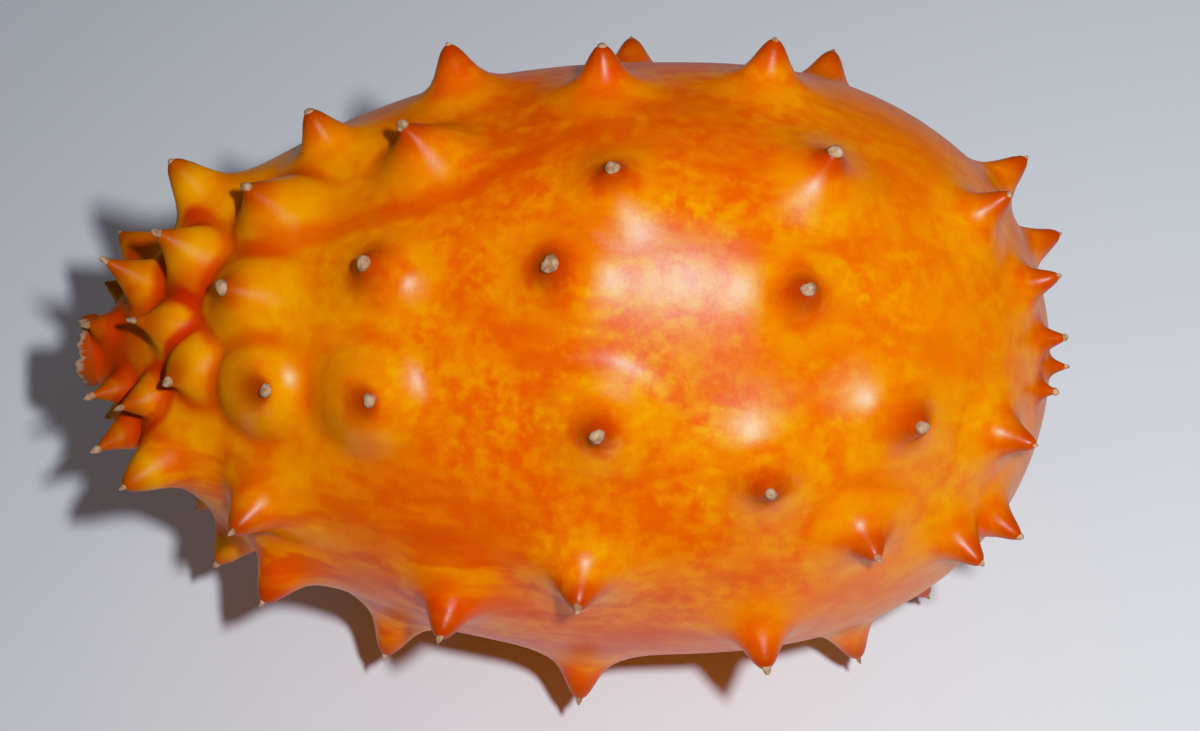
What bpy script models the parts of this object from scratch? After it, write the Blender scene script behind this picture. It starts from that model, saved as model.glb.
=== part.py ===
"""Horned melon (kiwano): one whole fruit lying on its side.

Metres, +Z up. The fruit's axis is level and runs along X, stem end at -X, blossom end at +X,
and the origin is on the ground under the middle of the fruit. A place on the skin is a
station along the axis from the middle of the body, and an angle round the axis from the
front (-Y) upwards. The body is one turned shape, a little swollen on top, and every horn is
the same turned spike, set square to the skin and united with it. The lowest horns are worn
flat where they stand.
"""
import math

import bmesh
import bpy
from mathutils import Vector

MM = 0.001

# The body, without its horns
BODY_LENGTH = 113 * MM
BODY_RADIUS = 35.4 * MM
WIDEST_STATION = 8 * MM          # the widest ring, nearer the blossom end
BLOSSOM_POWERS = (2.6, 0.5)      # blunt end
STEM_POWERS = (2.0, 0.667)       # tapering end
MIDDLE = (-0.28 * MM, -0.1 * MM, 41.0 * MM)   # the body's middle, from the origin
BODY_RINGS = 10                  # rings on each side of the widest one
BODY_SIDES = 40

# Broad swellings of the skin: (station mm, angle degrees, rise mm, reach along mm, reach round mm)
SWELLINGS = [
    (12, 78, 4.0, 19.0, 12.0), (12, 57, 0.6, 15.0, 8.0), (-6, 74, 0.6, 9.0, 9.0), (-26, 62, 0.6, 9.0, 9.0),
]

# The scar where the stalk came off: a short neck with a shallow dish in its end
NECK_STATION = -53 * MM
NECK_PROFILE = [(-54.3, 6.4), (-55.3, 5.0), (-56.4, 4.3), (-58.2, 4.0), (-58.5, 3.1), (-57.6, 1.7)]
DISH_STATION = -57.1 * MM
NECK_LIFT = 1.4 * MM             # how far the neck's end stands above the axis
LIFT_START, LIFT_END = -49 * MM, -57 * MM

# One horn of the standard height: (radius, height above the skin), flared base to blunt tip
HORN_HEIGHT = 7.0
HORN_PROFILE = [(8.2, -2.0), (4.9, 1.5), (2.7, 4.3), (1.3, 6.1)]
HORN_SIDES = 8

# (station mm, angle degrees, height mm), from the top of the fruit round to the ground
TOP_HORNS = [
    (-41.5, 110, 7.8), (-27.7, 108, 5.9), (-13, 118, 6.1), (3.5, 107, 5.8), (22, 111.5, 6.0),
    (-16, 92.5, 6.1), (4.6, 77.5, 4.5), (26.8, 82.5, 5.4), (-20.5, 66, 5.6), (-1.5, 63.3, 5.2),
    (24, 60, 5.3),
]
FRONT_HORNS = [
    (-34, 42, 4.5), (-21.5, 42, 5.0), (3, 38, 5.7), (35.2, 38, 6.1), (20.5, 29, 6.1),
    (31.8, 13.5, 4.7), (1, 8, 6.1), (-35, 8, 6.5), (-13.5, -5, 6.1), (21, -9.5, 6.0),
    (-33, -18, 6.5), (1, -39, 5.7), (-21, -44, 6.1), (32.7, -52, 5.8), (-40, -53, 6.5),
]
FOOT_HORNS = [
    (-43, -77, 6.5), (-27, -80, 7.0), (-10, -79, 8.9), (12, -79, 7.1), (40.5, -69, 6.5),
    (-20, -103, 7.5), (0, -101, 7.4), (22, -99, 7.6), (40, -104, 6.5),
]
STEM_CROWN = [
    (-33, 89, 6.0), (-36, 66.5, 4.8), (-42.6, 86, 6.6), (-45.9, 62, 4.8), (-43.1, 46, 4.0),
    (-45.5, 9, 8.5), (-49.3, 91, 6.4), (-48, 31, 4.8), (-50.5, 5, 6.5), (-50.3, 156, 6.4),
    (-52.3, 25, 4.8),
]
BLOSSOM_CROWN = [
    (45, 88, 5.6), (42.5, 3, 5.5), (46.9, 1, 5.2), (47.3, 28.5, 5.4), (51.2, 76.5, 4.5), (53.3, 58, 3.2),
    (54.9, 44, 2.3), (53.2, 35, 2.2), (49.5, 149, 6.5), (53.5, 163, 6.1), (47, -80, 5.5),
    (51, -115, 5.0),
]

# The back carries the same weave on: lines a set angle apart, each shifted along by some mm
BACK_LINES = [(-123, 0), (-145, 10), (-166, 0), (-187, 9)]
BACK_STATIONS = [-29, -10, 10, 29]
BACK_HEIGHT = 6.3
FAR_HORNS = [(7, 157, 6.1), (30, 155, 6.1)]

# Rings of horns round the far side of the ends: (station, height, angles)
END_RINGS = [
    (-43, 6.5, (-105, -131, -157, -183, 168)),
    (-49.5, 6.0, (-72, -102, -134, -168)),
    (-53, 5.0, (-85, -142, 178)),
    (47, 6.0, (-128, -152, -176)),
    (52, 5.0, (-145, -172)),
]

ORANGE = (0.87, 0.223, 0.0, 1.0)


def body_radius(station):
    """Radius of the skin at a station: full at the widest ring, falling to nothing at each end."""
    if station > WIDEST_STATION:
        reach = (station - WIDEST_STATION) / (BODY_LENGTH / 2 - WIDEST_STATION)
        inner, outer = BLOSSOM_POWERS
    else:
        reach = (WIDEST_STATION - station) / (BODY_LENGTH / 2 + WIDEST_STATION)
        inner, outer = STEM_POWERS
    return BODY_RADIUS * max(0.0, 1 - reach ** inner) ** outer


def body_outline():
    """Points (station, radius) of the body's outline, from the blossom tip to the scar's dish."""
    points = [(BODY_LENGTH / 2, 0.0)]
    for ring in range(BODY_RINGS - 1, 0, -1):
        turn = math.pi / 2 * ring / BODY_RINGS
        station = WIDEST_STATION + (BODY_LENGTH / 2 - WIDEST_STATION) * math.sin(turn)
        points.append((station, body_radius(station)))
    for ring in range(BODY_RINGS + 1):
        turn = math.pi / 2 * ring / BODY_RINGS
        station = WIDEST_STATION + (NECK_STATION - WIDEST_STATION) * math.sin(turn)
        points.append((station, body_radius(station)))
    for station, radius in NECK_PROFILE:
        points.append((station * MM, radius * MM))
    points.append((DISH_STATION, 0.0))
    return points


def risen(point):
    """A point of the turned body, from its middle, raised by the swellings and the neck's lift."""
    station, radius = point.x, math.hypot(point.y, point.z)
    angle = math.atan2(point.z, -point.y)
    rise = 0.0
    for centre, centre_angle, height, reach_along, reach_round in SWELLINGS:
        turned = math.remainder(angle - math.radians(centre_angle), 2 * math.pi)
        along = (station - centre * MM) / (reach_along * MM)
        round_body = turned * radius / (reach_round * MM)
        rise += height * MM * math.exp(-along ** 2 - round_body ** 2)
    outward = Vector((0.0, -math.cos(angle), math.sin(angle)))
    share = min(1.0, max(0.0, (station - LIFT_START) / (LIFT_END - LIFT_START)))
    lift = NECK_LIFT * share * share * (3 - 2 * share)
    return point + rise * outward + Vector((0.0, 0.0, lift))


def skin_place(station, angle):
    """The point of the skin at a station and an angle, and the direction square to the body."""
    step = 0.05 * MM
    slope = (body_radius(station + step) - body_radius(station - step)) / (2 * step)
    outward = Vector((0.0, -math.cos(angle), math.sin(angle)))
    point = Vector(MIDDLE) + risen(Vector((station, 0.0, 0.0)) + outward * body_radius(station))
    direction = outward + Vector((-slope, 0.0, 0.0))
    return point, direction.normalized()


def turned_mesh(name, outline, axis, sides):
    """A closed mesh: an outline that starts and ends on an axis, turned once round it."""
    shape = bmesh.new()
    points = [shape.verts.new(point) for point in outline]
    edges = [shape.edges.new(pair) for pair in zip(points, points[1:])]
    bmesh.ops.spin(shape, geom=points + edges, cent=(0, 0, 0), axis=axis,
                   angle=2 * math.pi, steps=sides, use_merge=True)
    bmesh.ops.remove_doubles(shape, verts=shape.verts[:], dist=1e-7)
    bmesh.ops.recalc_face_normals(shape, faces=shape.faces[:])
    mesh = bpy.data.meshes.new(name)
    shape.to_mesh(mesh)
    shape.free()
    mesh.shade_smooth()
    return mesh


def as_cutter(tool):
    """Mark an object as a Boolean's tool, which isn't part of the fruit."""
    tool.hide_render = True
    tool.display_type = "WIRE"


def rind_material():
    """Ripe orange rind with a waxy gloss."""
    material = bpy.data.materials.new("rind")
    material.use_nodes = True
    shader = material.node_tree.nodes["Principled BSDF"]
    shader.inputs["Base Color"].default_value = ORANGE
    shader.inputs["Roughness"].default_value = 0.3
    shader.inputs["Metallic"].default_value = 0.0
    return material


def all_horns():
    """Every horn as (station mm, angle degrees, height mm): the hand-set ones, then the back's."""
    horns = TOP_HORNS + FRONT_HORNS + FOOT_HORNS + STEM_CROWN + BLOSSOM_CROWN + FAR_HORNS
    for angle, shift in BACK_LINES:
        horns += [(station + shift, angle, BACK_HEIGHT) for station in BACK_STATIONS]
    for station, height, angles in END_RINGS:
        horns += [(station, angle, height) for angle in angles]
    return horns


def add_horns(collection):
    """Set one spike object for each horn, its own +Z square to the skin."""
    outline = [(0.0, 0.0, HORN_PROFILE[0][1] * MM)]
    outline += [(radius * MM, 0.0, height * MM) for radius, height in HORN_PROFILE]
    outline.append((0.0, 0.0, HORN_HEIGHT * MM))
    spike = turned_mesh("horn", outline, (0, 0, 1), HORN_SIDES)
    for station, angle, height in all_horns():
        point, direction = skin_place(station * MM, math.radians(angle))
        horn = bpy.data.objects.new("horn", spike)
        horn.location = point
        horn.rotation_mode = "QUATERNION"
        horn.rotation_quaternion = direction.to_track_quat("Z", "Y")
        horn.scale = (height / HORN_HEIGHT,) * 3
        as_cutter(horn)
        collection.objects.link(horn)


def add_ground(collection):
    """A block whose top is the ground, to wear the lowest horns flat."""
    size = 2 * BODY_LENGTH
    shape = bmesh.new()
    bmesh.ops.create_cube(shape, size=size)
    mesh = bpy.data.meshes.new("ground")
    shape.to_mesh(mesh)
    shape.free()
    ground = bpy.data.objects.new("ground", mesh)
    ground.location = (0, 0, -size / 2)
    as_cutter(ground)
    collection.objects.link(ground)
    return ground


def new_collection(name):
    """A new collection in the scene."""
    collection = bpy.data.collections.new(name)
    bpy.context.scene.collection.children.link(collection)
    return collection


def add_fruit():
    """The whole fruit: the turned body, united with its horns and worn flat underneath."""
    outline = [(station, 0.0, radius) for station, radius in body_outline()]
    body = turned_mesh("fruit", outline, (1, 0, 0), BODY_SIDES)
    for vertex in body.vertices:
        vertex.co = risen(vertex.co)
    body.materials.append(rind_material())
    fruit = bpy.data.objects.new("fruit", body)
    fruit.location = MIDDLE
    bpy.context.scene.collection.objects.link(fruit)

    horns = new_collection("horn_tools")
    add_horns(horns)
    union = fruit.modifiers.new("horns", "BOOLEAN")
    union.operation = "UNION"
    union.solver = "EXACT"
    union.operand_type = "COLLECTION"
    union.collection = horns

    wear = fruit.modifiers.new("worn tips", "BOOLEAN")
    wear.operation = "DIFFERENCE"
    wear.solver = "EXACT"
    wear.object = add_ground(new_collection("ground_tools"))


for old in list(bpy.data.objects):
    bpy.data.objects.remove(old, do_unlink=True)
add_fruit()
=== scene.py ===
"""Horned melon (kiwano): the looks of one whole fruit lying on its side on a pale surface.

Metres, +Z up. The fruit's axis runs along X, stem end at -X. A place on the skin is given as
a station in mm along that axis from the middle of the body, and an angle in degrees round it,
from the front (-Y) upwards.
"""
import math

import bpy
import numpy as np
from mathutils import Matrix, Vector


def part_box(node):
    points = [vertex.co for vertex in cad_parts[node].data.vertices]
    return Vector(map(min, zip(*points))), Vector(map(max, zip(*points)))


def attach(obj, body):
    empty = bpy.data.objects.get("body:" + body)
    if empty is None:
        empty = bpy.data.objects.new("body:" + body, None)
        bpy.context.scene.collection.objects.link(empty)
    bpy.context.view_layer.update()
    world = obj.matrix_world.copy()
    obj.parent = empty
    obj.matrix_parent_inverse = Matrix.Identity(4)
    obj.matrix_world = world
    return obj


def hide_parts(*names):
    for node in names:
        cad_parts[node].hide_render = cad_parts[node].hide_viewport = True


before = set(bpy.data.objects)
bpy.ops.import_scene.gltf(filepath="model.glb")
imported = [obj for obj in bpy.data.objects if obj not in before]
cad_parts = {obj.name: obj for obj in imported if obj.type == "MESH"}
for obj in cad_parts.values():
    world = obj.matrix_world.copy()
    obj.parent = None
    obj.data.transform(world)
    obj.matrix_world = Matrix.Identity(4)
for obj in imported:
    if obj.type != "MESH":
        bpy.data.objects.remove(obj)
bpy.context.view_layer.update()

# ---------------------------------------------------------------------------------------
# The form of the fruit: a body turned on its axis, fuller towards the blossom end, with
# blunt horns standing square to its skin. Rind, nibs and stalk scar are all built on it.
# ---------------------------------------------------------------------------------------
MM = 0.001
fruit_low, fruit_high = (np.array(corner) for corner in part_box("fruit"))
fruit_size = fruit_high - fruit_low

BODY_LENGTH = 0.9613 * fruit_size[0] / MM      # mm, without the horns
BODY_RADIUS = 0.4244 * fruit_size[2] / MM
BODY_MIDDLE = fruit_low + (0.4976, 0.4988, 0.4915) * fruit_size
WIDEST_STATION = 8.0
BODY_STEPS, OUTLINE_STEPS = 600, 3000
BLOSSOM_POWERS = (2.6, 0.5)
STEM_POWERS = (2.0, 0.667)

# The short neck at the stem end, from the dished scar out over its rim and back to the body
NECK_POINTS = np.array([
    (-56.5, 0.0), (-56.6, 1.3), (-57.0, 2.6), (-57.6, 3.5), (-57.5, 4.0), (-56.7, 4.1),
    (-55.8, 4.4), (-54.8, 5.4), (-53.6, 7.1),
])
NECK_END = -52.0
NECK_LIFT = 1.4           # mm the neck's end stands above the axis
LIFT_START, LIFT_END = -49, -57        # stations between which it comes to that
LUMP_HEIGHT = 0.22        # mm, of the skin's faint unevenness

# Pointed horns as (station, angle, height), with hollow flanks and a broad flared foot
POINTED = [
    (-41.5, 110, 7.8), (-27.7, 108, 5.9), (-13, 118, 6.1), (3.5, 107, 5.8), (22, 111.5, 6.0),
    (-20.5, 66, 5.6), (-1.5, 63.3, 5.2), (24, 60, 5.3),
    (35.2, 38, 6.1), (20.5, 29, 6.1), (31.8, 13.5, 4.7), (1, 8, 6.1), (-35, 8, 6.5),
    (-13.5, -5, 6.1), (21, -9.5, 6.0), (-33, -18, 6.5), (1, -39, 5.7), (-21, -44, 6.1),
    (32.7, -52, 5.8), (-40, -53, 6.5), (-45.5, 9, 8.5),
    (-43, -77, 6.5), (-27, -80, 7.0), (-10, -79, 8.9), (12, -79, 7.1), (40.5, -69, 6.5),
    (-20, -103, 7.5), (0, -101, 7.4), (22, -99, 7.6), (40, -104, 6.5),
    (45, 88, 5.6), (42.5, 3, 5.5), (46.9, 1, 5.2), (47.3, 28.5, 5.4), (51.2, 76.5, 4.5), (53.3, 58, 3.2),
    (54.9, 44, 2.3), (53.2, 35, 2.2), (49.5, 149, 6.5), (53.5, 163, 6.1), (47, -80, 5.5), (51, -115, 5.0),
    (7, 157, 6.1), (30, 155, 6.1),
]
# Plump horns, a dome with a nipple, most of them crowded round the stem end, as (station,
# angle, height, dome's share of it, dome's radius, dome's power, mm the tip leans along and up)
PLUMP = [
    (-16, 92.5, 6.1, 0.70, 4.6, 2.6, -1.2, 0.0), (-33.0, 89, 6.0, 0.72, 4.9, 2.5, -0.6, 0.0),
    (-36.0, 66.5, 4.8, 0.72, 5.2, 2.3, -0.6, 0.0), (-22.4, 41, 4.5, 0.86, 5.4, 3.2, 2.3, 0.7),
    (-35.2, 42, 4.1, 0.88, 4.9, 3.2, 4.2, 0.3), (3, 38, 5.7, 0.28, 6.1, 4.6, 0.0, 0.0),
    (4.6, 77.5, 4.5, 0.50, 4.7, 2.4, 0.0, 0.0), (26.8, 82.5, 5.4, 0.48, 5.4, 2.4, 0.0, 0.0),
    (-42.6, 86, 6.6, 0.70, 3.8, 2.4, -0.4, 0.0), (-45.4, 62, 4.4, 0.72, 3.2, 2.6, -2.4, 0.4),
    (-42.6, 47.0, 3.6, 0.92, 3.5, 2.6, -1.0, -1.8), (-49.3, 91, 6.4, 0.70, 2.6, 2.4, 0.0, 0.0),
    (-48.0, 31, 4.8, 0.76, 2.4, 3.0, -0.6, -0.4), (-50.5, 5, 6.5, 0.70, 2.6, 2.4, 0.0, 0.0),
    (-50.3, 156, 6.4, 0.76, 3.8, 2.6, 0.0, 0.0), (-52.3, 25, 4.8, 0.70, 1.9, 2.6, 0.0, 0.0),
    (-54.8, 78, 2.6, 0.75, 1.9, 3.0, -0.8, 0.0),
]
# The back carries the same weave on, and rings of horns close round the ends
BACK_LINES = [(-123, 0), (-145, 10), (-166, 0), (-187, 9)]
BACK_STATIONS = [-29, -10, 10, 29]
BACK_HEIGHT = 6.3
END_RINGS = [
    (-43, 6.5, (-105, -131, -157, -183, 168)),
    (-49.5, 6.0, (-72, -102, -134, -168)),
    (-53.0, 5.0, (-85, -142, 178)),
    (47, 6.0, (-128, -152, -176)),
    (52, 5.0, (-145, -172)),
]
for line_angle, shift in BACK_LINES:
    POINTED += [(station + shift, line_angle, BACK_HEIGHT) for station in BACK_STATIONS]
for ring_station, ring_height, ring_angles in END_RINGS:
    POINTED += [(ring_station, angle, ring_height) for angle in ring_angles]
# Broad swellings of the body as (station, angle, rise, reach along, reach round)
SWELLINGS = [(12, 78, 4.0, 19.0, 12.0), (12, 57, 0.6, 15.0, 8.0),
             (-6, 74, 0.6, 9.0, 9.0), (-26, 62, 0.6, 9.0, 9.0)]


def fade(low, high, values):
    """0 below low, 1 above high, and between them the smooth step 3t^2 - 2t^3."""
    t = np.clip((values - low) / (high - low), 0.0, 1.0)
    return t * t * (3 - 2 * t)


def body_radius(station):
    """Radius of the skin: BODY_RADIUS * (1 - t^inner)^outer, t running from 0 at the widest
    station to 1 at either end, with its own pair of powers on each side."""
    blossom = station > WIDEST_STATION
    span = np.where(blossom, BODY_LENGTH / 2 - WIDEST_STATION, BODY_LENGTH / 2 + WIDEST_STATION)
    t = np.clip(np.abs(station - WIDEST_STATION) / span, 0.0, 1.0)
    inner = np.where(blossom, BLOSSOM_POWERS[0], STEM_POWERS[0])
    outer = np.where(blossom, BLOSSOM_POWERS[1], STEM_POWERS[1])
    return BODY_RADIUS * (1 - t ** inner) ** outer


def through(points, steps):
    """A smooth curve through points: Catmull-Rom, each span blending four neighbours by cubics."""
    ends = np.vstack([2 * points[0] - points[1], points, 2 * points[-1] - points[-2]])
    t = np.linspace(0, 1, steps, endpoint=False)[None, :, None]
    a, b, c, d = (ends[i:len(ends) - 3 + i, None, :] for i in range(4))
    curve = 0.5 * (2 * b + (c - a) * t + (2 * a - 5 * b + 4 * c - d) * t ** 2
                   + (3 * b - a - 3 * c + d) * t ** 3)
    return np.vstack([curve.reshape(-1, 2), points[-1:]])


def outline():
    """(station, radius) from the scar's middle to the blossom tip, closely and evenly spaced."""
    turn = np.linspace(0, math.pi / 2, BODY_STEPS)
    stem_side = WIDEST_STATION + (NECK_END - WIDEST_STATION) * np.cos(turn)
    blossom_side = WIDEST_STATION + (BODY_LENGTH / 2 - WIDEST_STATION) * np.sin(turn)
    stations = np.concatenate([stem_side, blossom_side[1:]])
    body = np.column_stack([stations, body_radius(stations)])
    rough = np.vstack([through(np.vstack([NECK_POINTS, body[:1]]), steps=30), body[1:]])
    length = np.concatenate([[0], np.cumsum(np.hypot(*np.diff(rough, axis=0).T))])
    even = np.linspace(0, length[-1], OUTLINE_STEPS)
    return even, np.interp(even, length, rough[:, 0]), np.interp(even, length, rough[:, 1])


out_length, out_station, out_radius = outline()
out_normal = np.column_stack([-np.gradient(out_radius, out_length),
                              np.gradient(out_station, out_length)])
out_normal /= np.linalg.norm(out_normal, axis=1)[:, None]
rim_index = int(np.argmin(out_station))


def length_at(station):
    """Length along the outline from the scar's middle to a station beyond the rim."""
    return np.interp(station, out_station[rim_index:], out_length[rim_index:])


def skin(length, angle):
    """Points (mm, from the body's middle) and outward normals at lengths along the outline and
    angles (radians): the outline's radius and normal turned round the axis, then each point
    raised by faint lumps (products of sines, none at either end) and by the swellings, each of
    them rise * exp(-d^2) at a distance d over the surface, measured in its two reaches. Last,
    the neck's end is lifted by a smooth step along the axis."""
    radius = np.interp(length, out_length, out_radius)
    station = np.interp(length, out_length, out_station)
    axial = np.interp(length, out_length, out_normal[:, 0])
    radial = np.interp(length, out_length, out_normal[:, 1])
    across, up = -np.cos(angle), np.sin(angle)
    points = np.stack([station, radius * across, radius * up], axis=-1)
    normals = np.stack([axial, radial * across, radial * up], axis=-1)
    normals /= np.linalg.norm(normals, axis=-1, keepdims=True)
    swelling = np.zeros(len(points))
    for centre, centre_angle, rise, reach_along, reach_round in SWELLINGS:
        turned = (angle - math.radians(centre_angle) + math.pi) % (2 * math.pi) - math.pi
        swelling += rise * np.exp(-((station - centre) / reach_along) ** 2
                                  - (turned * radius / reach_round) ** 2)
    x, y, z = points.T
    lumps = (np.sin(x / 9 + 1.3 * np.sin(y / 11)) * np.sin(y / 8 + 0.7)
             + np.sin(z / 10 + x / 17 + 2.0) * np.cos(y / 13 - z / 21))
    swelling += LUMP_HEIGHT * lumps * fade(-56, -46, x) * fade(-58, -50, -x)
    points += swelling[:, None] * normals
    points[:, 2] += NECK_LIFT * fade(-LIFT_START, -LIFT_END, -station)
    return points, normals


END_STARTS, END_FULL = 34, 48      # mm from the middle, where the horns turn to end horns

horns = np.array([row[:3] for row in POINTED + PLUMP], dtype=float)
horn_count = len(horns)
horn_station, horn_angle, horn_height = horns[:, 0], np.radians(horns[:, 1]), horns[:, 2]
horn_length = length_at(horn_station)
horn_foot, horn_up = skin(horn_length, horn_angle)
horn_radius = np.interp(horn_length, out_length, out_radius)
round_way = np.stack([np.zeros(horn_count), np.sin(horn_angle), np.cos(horn_angle)], axis=1)
along_way = np.cross(round_way, horn_up)
lean = np.array([(0.0, 0.0)] * len(POINTED) + [row[-2:] for row in PLUMP])
horn_lean = along_way * lean[:, :1] + round_way * lean[:, 1:]
near_end = fade(END_STARTS, END_FULL, np.abs(horn_station))

# A horn's profile is a sum of terms (share of its height, width in mm, power). A pointed
# horn has a blunt tip, a hollow flank and a low broad foot, and is a fifth slimmer at the
# fruit's ends; a plump one has a dome and a nipple.
POINTED_TERMS = [(0.48, 0.37, 2.6), (0.40, 0.66, 1.7), (0.12, 1.0, 2.0)]    # widths over height
END_SLIMMING = 0.2
NIPPLE_WIDTH, NIPPLE_POWER = 0.34, 1.8     # the width over the dome's radius
profiles = [[(share, slim * width * height, power) for share, width, power in POINTED_TERMS]
            for height, slim in zip(horn_height, 1 - END_SLIMMING * near_end)][:len(POINTED)]
profiles += [[(share, dome, power), (1 - share, NIPPLE_WIDTH * dome, NIPPLE_POWER)]
             for _, _, _, share, dome, power, _, _ in PLUMP]


def horn_rise(i, distance):
    """Height of horn i over the skin at a distance d from its axis: its height times the sum of
    share * exp(-(d / width)^power)."""
    return horn_height[i] * sum(share * np.exp(-(distance / width) ** power)
                                for share, width, power in profiles[i])


# ---------------------------------------------------------------------------------------
# The rind: one tough waxy skin, body and horns together. It is made as a grid round and
# along the body, drawn closer towards each horn and raised there by the horn's profile.
# ---------------------------------------------------------------------------------------
ROUND_STEPS = 372
ALONG_STEPS = 252
PULL = 0.62            # how much closer the grid stands at a horn's tip
WIDEST_DISC = 7.5      # mm round a horn within which the grid is drawn in
HORN_REACH = 14        # mm round a horn's axis past which it raises nothing
HORN_DEPTH = 8         # mm under a horn's foot past which it raises nothing
FAR_FROM_HORN = 12.0   # mm, the most that near_horn says
TRACE = 1e-9           # a weight for bare skin, where no horn gives one
HOLLOW_REACH = 1.8     # mm to the places that tell a crease from a crest


def linear(hex_colour):
    """An sRGB hex colour as linear RGBA, by the sRGB curve."""
    parts = [int(hex_colour[i:i + 2], 16) / 255 for i in (1, 3, 5)]
    rgb = [c / 12.92 if c <= 0.04045 else ((c + 0.055) / 1.055) ** 2.4 for c in parts]
    return (*rgb, 1.0)


def grid_faces(rows, columns):
    """Quads between rows of a grid whose columns close on themselves, and fans to two poles
    that follow the grid's own points."""
    row, column = np.meshgrid(np.arange(rows - 1), np.arange(columns), indexing="ij")
    beside = (column + 1) % columns
    quads = np.stack([row * columns + column, row * columns + beside,
                      (row + 1) * columns + beside, (row + 1) * columns + column], axis=-1)
    first_pole, last_pole = rows * columns, rows * columns + 1
    ring = np.arange(columns)
    after = (ring + 1) % columns
    last_row = (rows - 1) * columns
    first_fan = np.stack([after, ring, np.full(columns, first_pole)], axis=-1)
    last_fan = np.stack([last_row + ring, last_row + after, np.full(columns, last_pole)], axis=-1)
    return quads.reshape(-1, 4).tolist() + first_fan.tolist() + last_fan.tolist()


def add_mesh(name, points, faces, values=None):
    """A smooth-shaded object at the origin from world points, with named point values."""
    mesh = bpy.data.meshes.new(name)
    mesh.from_pydata(points, [], faces)
    for value_name, value in (values or {}).items():
        layer = mesh.attributes.new(value_name, "FLOAT", "POINT")
        layer.data.foreach_set("value", np.asarray(value, dtype=np.float32))
    mesh.shade_smooth()
    piece = bpy.data.objects.new(name, mesh)
    bpy.context.scene.collection.objects.link(piece)
    return piece


def drawn_to_horns(length, angle):
    """The grid's places moved towards the nearest horn: inside a disc that ends halfway to that
    horn's neighbour, each place keeps 1 - PULL * (1 - (d/disc)^2)^2 of its distance d."""
    gap = np.linalg.norm(horn_foot[:, None] - horn_foot[None], axis=2)
    np.fill_diagonal(gap, np.inf)
    disc = np.minimum(WIDEST_DISC, 0.5 * gap.min(axis=1))
    moved_length, moved_angle = length.copy(), angle.copy()
    for i in range(horn_count):
        to_length = horn_length[i] - length
        to_angle = (horn_angle[i] - angle + math.pi) % (2 * math.pi) - math.pi
        distance = np.hypot(to_length, to_angle * horn_radius[i])
        share = PULL * np.clip(1 - (distance / disc[i]) ** 2, 0, 1) ** 2
        moved_length += share * to_length
        moved_angle += share * to_angle
    return moved_length, moved_angle


def raised(points):
    """Points of the bare body raised by the horns, with each point's rise and its distance from
    a horn. Where horns meet, both are averaged with weights rise^4, which rounds the valley
    between them. A tip's lean grows with the fourth power of its rise."""
    weight = np.full(len(points), TRACE)
    shift = np.zeros_like(points)
    total = np.zeros(len(points))
    near = weight * FAR_FROM_HORN
    for i in range(horn_count):
        offset = points - horn_foot[i]
        height = offset @ horn_up[i]
        distance = np.linalg.norm(offset - height[:, None] * horn_up[i], axis=1)
        own = (height > -HORN_DEPTH) & (distance < HORN_REACH)
        rise = np.where(own, horn_rise(i, distance), 0.0)
        bend = (rise / horn_height[i]) ** 4
        weight += rise ** 4
        shift += (rise ** 4)[:, None] * (rise[:, None] * horn_up[i] + bend[:, None] * horn_lean[i])
        total += rise ** 5
        near += rise ** 4 * np.minimum(distance, FAR_FROM_HORN)
    return points + shift / weight[:, None], total / weight, near / weight


def rind_mesh():
    """The rind's points, faces and point values. Hollow is how far a point's rise lies below
    the mean rise of four places round it: above 0 in creases, below 0 on the horns."""
    rows = np.linspace(0, out_length[-1], ALONG_STEPS + 2)[1:-1]
    columns = np.linspace(-math.pi, math.pi, ROUND_STEPS, endpoint=False)
    length, angle = (part.ravel() for part in np.meshgrid(rows, columns, indexing="ij"))
    length, angle = drawn_to_horns(length, angle)
    length, angle = np.append(length, [0, out_length[-1]]), np.append(angle, [0, 0])
    points, rise, near = raised(skin(length, angle)[0])
    points = points * MM + BODY_MIDDLE
    points[:, 2] = np.maximum(points[:, 2], fruit_low[2])
    turned = HOLLOW_REACH / np.maximum(np.interp(length, out_length, out_radius), 2 * HOLLOW_REACH)
    beside = [raised(skin(length + step * HOLLOW_REACH, angle + turn * turned)[0])[1]
              for step, turn in ((1, 0), (-1, 0), (0, 1), (0, -1))]
    values = {"near_horn": near, "hollow": np.mean(beside, axis=0) - rise}
    return points, grid_faces(ALONG_STEPS, ROUND_STEPS), values


def node(tree, kind, settings=None, **links):
    """Adds a node. Settings are its properties, or its inputs by name or number; links join an
    input (its name with _ for spaces, or i and its number) to another node's output socket."""
    made = tree.nodes.new(kind)
    for key, value in (settings or {}).items():
        if isinstance(key, str) and hasattr(made, key):
            setattr(made, key, value)
        else:
            made.inputs[key].default_value = value
    for key, socket in links.items():
        place = int(key[1:]) if key[0] == "i" and key[1:].isdigit() else key.replace("_", " ")
        tree.links.new(socket, made.inputs[place])
    return made


def new_material(name):
    """A material with nodes: itself, its node tree and its shader."""
    material = bpy.data.materials.new(name)
    material.use_nodes = True
    return material, material.node_tree, material.node_tree.nodes["Principled BSDF"]


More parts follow.
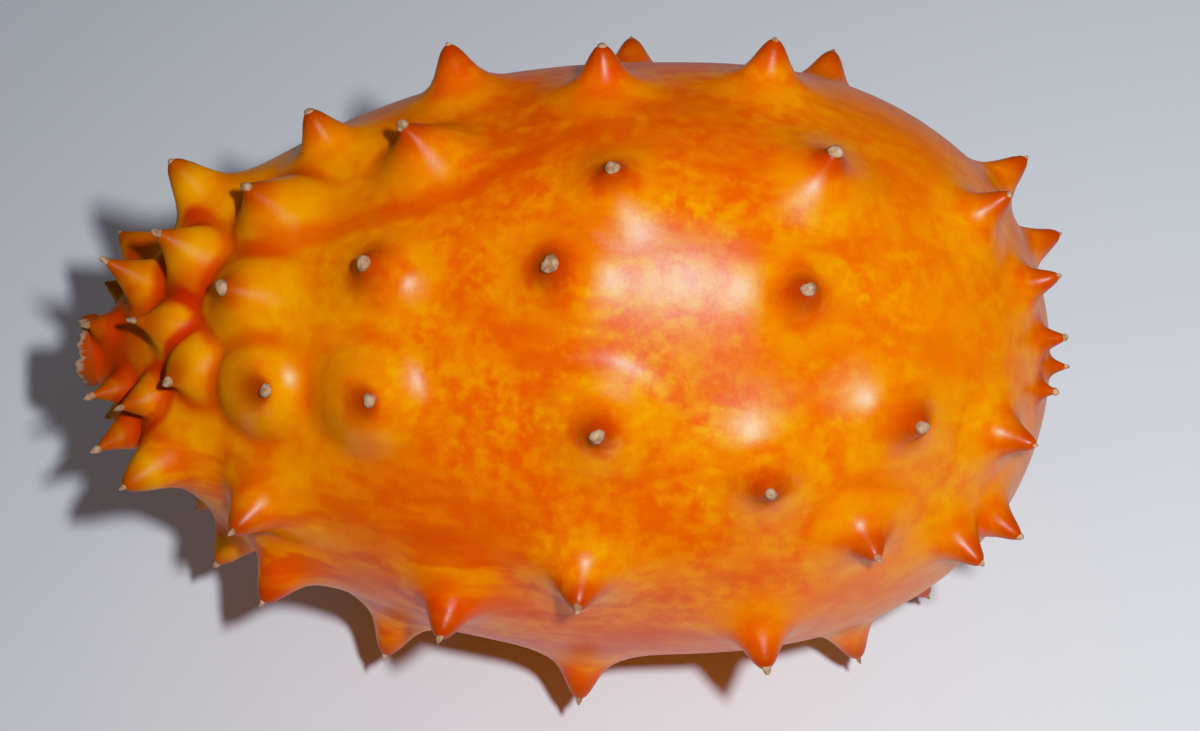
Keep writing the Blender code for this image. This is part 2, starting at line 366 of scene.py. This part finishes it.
def rind_material():
    """Ripe horned-melon rind, a waxed cuticle over orange flesh. Its colour is laid on in
    steps, each a pattern or a place along the fruit that mixes one more colour in."""
    material, tree, shader = new_material("waxed_orange_rind")
    place = node(tree, "ShaderNodeTexCoord").outputs["Object"]
    hollow = node(tree, "ShaderNodeAttribute", {"attribute_name": "hollow"}).outputs["Fac"]
    near = node(tree, "ShaderNodeAttribute", {"attribute_name": "near_horn"}).outputs["Fac"]
    axes = node(tree, "ShaderNodeSeparateXYZ", Vector=place)
    x, y, z = axes.outputs["X"], axes.outputs["Y"], axes.outputs["Z"]

    def pattern(size_mm, detail=2.0, stretch=1.0, seed=0.0):
        """A noise whose blotches are about size_mm across, drawn out along the fruit."""
        moved = node(tree, "ShaderNodeMapping", {"Location": (seed, seed, seed),
                     "Scale": (1 / stretch, 1, 1)}, Vector=place)
        return node(tree, "ShaderNodeTexNoise", {"Scale": 0.5 / (size_mm * MM), "Detail": detail,
                    "Roughness": 0.55}, Vector=moved.outputs["Vector"]).outputs["Fac"]

    def band(value, low, high, start=0.0, end=1.0):
        """Value eased from start at low to end at high."""
        return node(tree, "ShaderNodeMapRange", {"interpolation_type": "SMOOTHSTEP",
                    "From Min": low, "From Max": high, "To Min": start, "To Max": end},
                    Value=value).outputs["Result"]

    def times(a, b):
        """Product of two values."""
        return node(tree, "ShaderNodeMath", {"operation": "MULTIPLY"}, i0=a, i1=b).outputs[0]

    def wavered(value, noise, amount):
        """Value plus amount times a noise."""
        return node(tree, "ShaderNodeMath", {"operation": "MULTIPLY_ADD", 1: amount}, i0=noise,
                    i2=value).outputs[0]

    def blend(factor, under, over):
        """Mixes a colour (hex or socket) towards a hex colour by a factor."""
        mixed = node(tree, "ShaderNodeMix", {"data_type": "RGBA"}, i0=factor)
        mixed.inputs[7].default_value = linear(over)
        if isinstance(under, str):
            mixed.inputs[6].default_value = linear(under)
        else:
            tree.links.new(under, mixed.inputs[6])
        return mixed.outputs[2]

    # Two oranges mottled together, flecked with yellow-orange and streaked with red-orange
    colour = blend(band(pattern(1.7, 4.0), 0.40, 0.62), "#EA5E00", "#F27E00")
    speckle = times(band(pattern(0.8, 3.0, seed=3.1), 0.40, 0.72),
                    band(pattern(8, seed=7.7), 0.35, 0.60, 0.25, 0.8))
    colour = blend(speckle, colour, "#F89E00")
    streak = band(pattern(3.2, 3.0, stretch=4.5, seed=1.7), 0.50, 0.66, 0.0, 0.65)
    colour = blend(streak, colour, "#DA4800")
    drift = band(pattern(6.0, 3.0, stretch=2.5, seed=12.3), 0.52, 0.62, 0.0, 0.4)
    colour = blend(drift, colour, "#DC4A00")

    # A paler ring round each horn, redder skin far from any, and yellower skin at both ends
    wavy = wavered(near, pattern(5.0, seed=4.0), 5.0)
    halo = times(band(wavy, 4.5, 7.0), band(wavy, 7.5, 10.5, 0.35, 0.0))
    colour = blend(halo, colour, "#F29200")
    colour = blend(band(wavy, 9.0, 12.5, 0.0, 0.25), colour, "#DC4A00")
    colour = blend(band(x, 12 * MM, 46 * MM, 0.0, 0.35), colour, "#EE8C00")
    stem = times(band(x, -46 * MM, -2 * MM, 1.0, 0.0), band(z, 40 * MM, 60 * MM, 0.5, 1.0))
    patchy = times(band(stem, 0.0, 1.0, 0.0, 0.85),
                   band(pattern(1.8, 3.0, seed=6.2), 0.38, 0.60, 0.55, 1.0))
    colour = blend(patchy, colour, "#F09C00")

    # Red-orange veins low on the stem half, and one seam along its upper front
    veins = times(band(pattern(2.2, 3.0, stretch=5.0, seed=15.1), 0.48, 0.59, 0.0, 0.75),
                  times(band(z, 38 * MM, 62 * MM, 1.0, 0.0), band(x, -10 * MM, 20 * MM, 1.0, 0.0)))
    colour = blend(veins, colour, "#D84000")
    seam_line = band(x, -16 * MM, 4 * MM, -5.5 * MM, 1.5 * MM)
    beside_seam = node(tree, "ShaderNodeMath", {"operation": "SUBTRACT"}, i0=y, i1=seam_line).outputs[0]
    off_seam = node(tree, "ShaderNodeMath", {"operation": "ABSOLUTE"}, i0=beside_seam).outputs[0]
    off_seam = wavered(off_seam, pattern(4.0, seed=2.2), 3 * MM)
    seam = times(band(off_seam, 1.8 * MM, 3.6 * MM, 0.65, 0.0),
                 times(band(x, 0.0, 9 * MM, 1.0, 0.0), band(z, 45 * MM, 55 * MM)))
    colour = blend(seam, colour, "#DC4A00")

    # Yellow domes in the crown at the stem end; creases between horns reddened and darkened, partly their
    # own redder skin and partly painted shade, deepest in the crown; and the red neck
    crown = band(x, -44 * MM, -35 * MM, 1.0, 0.0)
    colour = blend(times(crown, band(hollow, -0.8, 0.1, 0.9, 0.0)), colour, "#F8B400")
    # Painted shade on top of the creases' own redder skin: the creases between horns are darkened to
    # red-orange, and to darker red in the crown
    crease_red_and_shade = times(band(hollow, 0.0, 0.6), band(pattern(4.0, seed=9.0), 0.3, 0.6, 0.7, 1.0))
    colour = blend(times(crease_red_and_shade, band(crown, 0.0, 1.0, 0.8, 0.0)), colour, "#D84600")
    colour = blend(times(crease_red_and_shade, crown), colour, "#CC2C00")
    neck = times(band(x, -54 * MM, -48.5 * MM, 0.95, 0.0), band(hollow, -0.9, -0.1, 0.3, 1.0))
    colour = blend(neck, colour, "#C83400")

    # The horns redden and darken towards their tips: partly their own redder skin, partly painted shade
    # standing in for the shaded flanks round each tip
    tip_red_and_shade = times(band(near, 2.0, 5.0, 0.22, 0.0), band(crown, 0.0, 1.0, 1.0, 0.4))
    colour = blend(tip_red_and_shade, colour, "#D03C00")
    # Painted shade together with the tips' own dark red, in the last few mm round each nib
    colour = blend(band(near, 0.8, 3.0, 0.85, 0.0), colour, "#A82E00")
    tree.links.new(colour, shader.inputs["Base Color"])

    # A waxy gloss, duller in the crown, over flesh that lets red light through, and fine pores
    tree.links.new(band(crown, 0.0, 1.0, 0.38, 0.52), shader.inputs["Roughness"])
    shader.inputs["IOR"].default_value = 1.37
    shader.inputs["Subsurface Weight"].default_value = 0.35
    shader.inputs["Subsurface Radius"].default_value = (1.0, 0.35, 0.06)
    shader.inputs["Subsurface Scale"].default_value = 2.0 * MM
    bump = node(tree, "ShaderNodeBump", {"Strength": 0.25, "Distance": 0.15 * MM},
                Height=pattern(0.9, 3.0, seed=5.0))
    tree.links.new(bump.outputs["Normal"], shader.inputs["Normal"])
    return material


rind = add_mesh("rind", *rind_mesh())
rind.data.materials.append(rind_material())
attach(rind, "root")
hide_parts("fruit")

# ---------------------------------------------------------------------------------------
# The nibs: each horn ends in a scrap of dry pale cork, where a bristle has worn away.
# Each is a small uneven cap sunk into the tip of its horn.
# ---------------------------------------------------------------------------------------
NIB_SIDES = 10
NIB_OUTLINE = [(0.92, -0.8), (1.0, -0.2), (0.76, 0.5), (0.34, 1.0)]   # (radius, height), shares
NIB_POLES = np.array([[-0.85], [1.1]])   # its two ends, as the same shares of height
NIB_SINK = 0.05                          # mm from a horn's tip down to its nib's middle
# (radius, height) in mm of a thin stub of bristle, and what is added where it is worn or bare
STUB, WORN, BARE = np.array([(0.42, 0.75), (0.52, -0.30), (-0.06, -0.40)])
WORN_ANGLE, WORN_REACH = 62, 40          # degrees: the upper front is worn broad and flat
BARE_ANGLES = (92, 106)                  # degrees: past the top they become nearly bare,
BARE_STATIONS = (38, 45)                 # and towards the blossom end too


def nib_mesh():
    """Every nib in one mesh: the outline's shares times a nib's radius and height, turned
    about its tip's own direction. A nib is worn by exp(-((angle - WORN_ANGLE) / WORN_REACH)^2),
    but not at the fruit's ends. Sines of its number and of the angle round it make its radius
    and its height uneven."""
    profile = np.array(NIB_OUTLINE)
    turn = np.linspace(0, 2 * math.pi, NIB_SIDES, endpoint=False)
    one = grid_faces(len(profile), NIB_SIDES)
    points, faces = [], []
    for i in range(horn_count):
        tip_way = horn_up[i] + 2 * horn_lean[i] / horn_height[i]
        tip_way /= np.linalg.norm(tip_way)
        side = np.cross(tip_way, round_way[i])
        side /= np.linalg.norm(side)
        other = np.cross(tip_way, side)
        tip = horn_foot[i] + (horn_height[i] - NIB_SINK) * horn_up[i] + horn_lean[i]
        worn = math.exp(-((horns[i, 1] - WORN_ANGLE) / WORN_REACH) ** 2) * (1 - near_end[i])
        bare = max(fade(*BARE_ANGLES, horns[i, 1]), fade(*BARE_STATIONS, horn_station[i]))
        size, tall = STUB + WORN * worn + BARE * bare
        size += 0.08 * math.sin(2.4 * i)
        uneven = 1 + 0.12 * np.sin(2 * turn + i) + 0.09 * np.sin(3 * turn + 2.1 * i)
        radius = size * profile[:, :1] * uneven
        height = tall * profile[:, 1:] + 0.08 * np.sin(turn + 1.7 * i)
        rings = (tip + radius[..., None] * (np.cos(turn)[:, None] * side + np.sin(turn)[:, None] * other)
                 + height[..., None] * tip_way)
        poles = tip + NIB_POLES * tall * tip_way
        start = i * (len(rings) * NIB_SIDES + 2)
        faces += [[corner + start for corner in face] for face in one]
        points.append(np.vstack([rings.reshape(-1, 3), poles]))
    cloud = np.vstack(points) * MM + BODY_MIDDLE
    cloud[:, 2] = np.maximum(cloud[:, 2], fruit_low[2])
    return cloud, faces


def cork_material():
    """Dry cork of a healed tip, pale grey-beige and dull."""
    material, tree, shader = new_material("dry_cork")
    place = node(tree, "ShaderNodeTexCoord").outputs["Object"]
    grain = node(tree, "ShaderNodeTexNoise", {"Scale": 0.5 / (0.35 * MM), "Detail": 3.0}, Vector=place)
    ramp = node(tree, "ShaderNodeValToRGB", Fac=grain.outputs["Fac"])
    ramp.color_ramp.elements[0].position = 0.38
    ramp.color_ramp.elements[0].color = linear("#8C6A4A")
    ramp.color_ramp.elements[1].position = 0.60
    ramp.color_ramp.elements[1].color = linear("#B8987A")
    tree.links.new(ramp.outputs["Color"], shader.inputs["Base Color"])
    shader.inputs["Roughness"].default_value = 0.75
    bump = node(tree, "ShaderNodeBump", {"Strength": 0.5, "Distance": 0.1 * MM},
                Height=grain.outputs["Fac"])
    tree.links.new(bump.outputs["Normal"], shader.inputs["Normal"])
    return material


nibs = add_mesh("nibs", *nib_mesh())
nibs.data.materials.append(cork_material())
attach(nibs, "root")

# ---------------------------------------------------------------------------------------
# The stalk scar: where the fruit was torn from its vine, a dry fibrous dish with a pale
# ragged lip. It is a thin woody ring and floor grown onto the neck's end.
# ---------------------------------------------------------------------------------------
SCAR_SIDES = 72
# (station mm, radius mm, share of the ragged edge), from the dish's middle over the lip
SCAR_OUTLINE = [
    (-56.8, 0.6, 0.0), (-56.9, 1.4, 0.1), (-57.2, 2.4, 0.2), (-57.8, 3.2, 0.5), (-58.5, 3.7, 1.0),
    (-58.6, 4.0, 1.0), (-58.0, 4.25, 0.6), (-57.3, 4.3, 0.2), (-56.4, 4.0, 0.0),
]
DISH_FLOOR, RING_BACK = -56.7, -55.8     # stations of the scar's two poles
# The torn lip's waves as (share, number round it, start), and their size in mm along the axis
# and, an eighth of a turn further round, outwards
TORN_WAVES = [(0.45, 3, 1), (0.35, 7, 0), (0.3, 13, 2), (0.25, 22, 4)]
TEAR_DEPTH, TEAR_WIDTH = 0.55, 0.22


def scar_mesh():
    """The scar's outline turned round the neck; the ragged share of each ring is moved along
    the axis and outwards by a sum of sines of the angle."""
    outline_points = through(np.array(SCAR_OUTLINE)[:, :2], steps=3)
    ragged_at = np.interp(np.linspace(0, 1, len(outline_points)), np.linspace(0, 1, len(SCAR_OUTLINE)),
                          [row[2] for row in SCAR_OUTLINE])
    turn = np.linspace(0, 2 * math.pi, SCAR_SIDES, endpoint=False)
    torn = sum(share * np.sin(waves * turn + start) for share, waves, start in TORN_WAVES)
    station = outline_points[:, :1] - TEAR_DEPTH * ragged_at[:, None] * torn
    radius = outline_points[:, 1:] + TEAR_WIDTH * ragged_at[:, None] * np.roll(torn, SCAR_SIDES // 8)
    rings = np.stack(np.broadcast_arrays(station, -radius * np.cos(turn), radius * np.sin(turn)), axis=-1)
    poles = np.array([(DISH_FLOOR, 0.0, 0.0), (RING_BACK, 0.0, 0.0)])
    points = np.vstack([rings.reshape(-1, 3), poles]) + (0, 0, NECK_LIFT)
    lip = np.append(np.repeat(ragged_at, SCAR_SIDES), [0.0, 0.0])
    return points * MM + BODY_MIDDLE, grid_faces(len(rings), SCAR_SIDES), {"lip": lip}


def scar_material():
    """Dead vine fibre: dark red-brown in the dish, bleached grey-beige along the torn lip."""
    material, tree, shader = new_material("dead_vine_fibre")
    place = node(tree, "ShaderNodeTexCoord").outputs["Object"]
    lip = node(tree, "ShaderNodeAttribute", {"attribute_name": "lip"}).outputs["Fac"]
    drawn = node(tree, "ShaderNodeMapping", {"Scale": (0.25, 1, 1)}, Vector=place).outputs["Vector"]
    grain = node(tree, "ShaderNodeTexNoise", {"Scale": 0.5 / (0.4 * MM), "Detail": 3.0}, Vector=drawn)
    bleached = node(tree, "ShaderNodeMath", {"operation": "MULTIPLY_ADD", 1: 0.6}, i0=lip,
                    i2=grain.outputs["Fac"]).outputs[0]
    ramp = node(tree, "ShaderNodeValToRGB", Fac=bleached)
    ramp.color_ramp.elements[0].position = 0.80
    ramp.color_ramp.elements[0].color = linear("#A03406")
    ramp.color_ramp.elements[1].position = 1.0
    ramp.color_ramp.elements[1].color = linear("#A88C72")
    tree.links.new(ramp.outputs["Color"], shader.inputs["Base Color"])
    shader.inputs["Roughness"].default_value = 0.8
    bump = node(tree, "ShaderNodeBump", {"Strength": 0.7, "Distance": 0.2 * MM},
                Height=grain.outputs["Fac"])
    tree.links.new(bump.outputs["Normal"], shader.inputs["Normal"])
    return material


scar = add_mesh("stalk_scar", *scar_mesh())
scar.data.materials.append(scar_material())
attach(scar, "root")

# ---------------------------------------------------------------------------------------
# The stand: a plain pale board, the camera with a small soft key light beside it, a weak
# wide light behind the fruit and a soft sky.
# ---------------------------------------------------------------------------------------
CAMERA_ELEVATION = math.radians(50)
CAMERA_DISTANCE = 340 * MM
LENS, SENSOR = 85.16, 36         # mm
AIM_SHIFT = (3.0 * MM, -1.0 * MM)      # right and up of the fruit's middle
FLOOR_SIZE = 1.6
FLOOR_FRONT = -120 * MM          # out of the camera's sight, so the fruit mirrors less of the board
KEY_SHIFT = (44 * MM, 27 * MM)   # right and up of the camera
BEAM_SHIFT = 300 * MM            # the key is aimed right of the fruit, so its light fades leftwards
BACK_SHIFT = (120 * MM, 450 * MM, 180 * MM)      # from the fruit's middle

floor_mesh = bpy.data.meshes.new("floor")
half = FLOOR_SIZE / 2
floor_corners = [(-half, FLOOR_FRONT, 0), (half, FLOOR_FRONT, 0), (half, half, 0), (-half, half, 0)]
floor_mesh.from_pydata(floor_corners, [], [(0, 1, 2, 3)])
floor = bpy.data.objects.new("floor", floor_mesh)
floor.location.z = fruit_low[2]
bpy.context.scene.collection.objects.link(floor)
board, _, board_shader = new_material("pale_board")
board_shader.inputs["Base Color"].default_value = linear("#DBE4EF")
board_shader.inputs["Roughness"].default_value = 0.6
floor_mesh.materials.append(board)

forward = np.array([0, math.cos(CAMERA_ELEVATION), -math.sin(CAMERA_ELEVATION)])
camera_up = np.array([0, math.sin(CAMERA_ELEVATION), math.cos(CAMERA_ELEVATION)])
camera_right = np.array([1.0, 0, 0])
aim = BODY_MIDDLE + AIM_SHIFT[0] * camera_right + AIM_SHIFT[1] * camera_up
eye = aim - CAMERA_DISTANCE * forward
camera_data = bpy.data.cameras.new("camera")
camera_data.lens = LENS
camera_data.sensor_width = SENSOR
camera_data.clip_start = 0.01
camera = bpy.data.objects.new("camera", camera_data)
camera.location = eye
camera.rotation_euler = (math.pi / 2 - CAMERA_ELEVATION, 0, 0)
bpy.context.scene.collection.objects.link(camera)
bpy.context.scene.camera = camera


def add_light(name, place, target, size, watts, colour, mirrored=True):
    """A round area light at a place, facing a target, and seen in glossy surfaces or not."""
    data = bpy.data.lights.new(name, "AREA")
    data.shape = "DISK"
    data.size = size
    data.energy = watts
    data.color = colour
    light = bpy.data.objects.new(name, data)
    way = target - place
    flat = math.hypot(way[0], way[1])
    light.location = place
    light.visible_glossy = mirrored
    light.rotation_euler = (math.atan2(flat, -way[2]), 0, math.atan2(way[1], way[0]) - math.pi / 2)
    bpy.context.scene.collection.objects.link(light)


key_place = eye + KEY_SHIFT[0] * camera_right + KEY_SHIFT[1] * camera_up
beam_centre = BODY_MIDDLE + BEAM_SHIFT * camera_right
add_light("key", key_place, beam_centre, size=22 * MM, watts=1.65, colour=(1.0, 0.985, 0.97))
add_light("back", BODY_MIDDLE + BACK_SHIFT, BODY_MIDDLE, size=300 * MM, watts=0.22,
          colour=(0.95, 0.97, 1.0), mirrored=False)

world = bpy.data.worlds.new("sky")
world.use_nodes = True
world.node_tree.nodes["Background"].inputs["Color"].default_value = (1.0, 0.88, 0.88, 1.0)
world.node_tree.nodes["Background"].inputs["Strength"].default_value = 0.078
bpy.context.scene.world = world

# A print's soft shoulder: light over about 0.6 is held back, so strong orange stays orange,
# and the faintest blue is darkened
SHOULDER = [(0.0, 0.0), (0.15, 0.15), (0.45, 0.47), (0.9, 0.80), (1.5, 0.96), (4.0, 1.0)]
BLUE_TOE = [(0.0, 0.0), (0.015, 0.001), (0.03, 0.016), (0.055, 0.05), (0.5, 0.5), (4.0, 4.0)]
view = bpy.context.scene.view_settings
view.view_transform = "Standard"
view.use_curve_mapping = True
mapping = view.curve_mapping
mapping.clip_max_x = SHOULDER[-1][0]
mapping.clip_max_y = SHOULDER[-1][0]
for curve, knots in ((mapping.curves[3], SHOULDER), (mapping.curves[2], BLUE_TOE)):
    curve.points[0].location = knots[0]
    curve.points[-1].location = knots[-1]
    for from_light, to_light in knots[1:-1]:
        curve.points.new(from_light, to_light)
mapping.update()
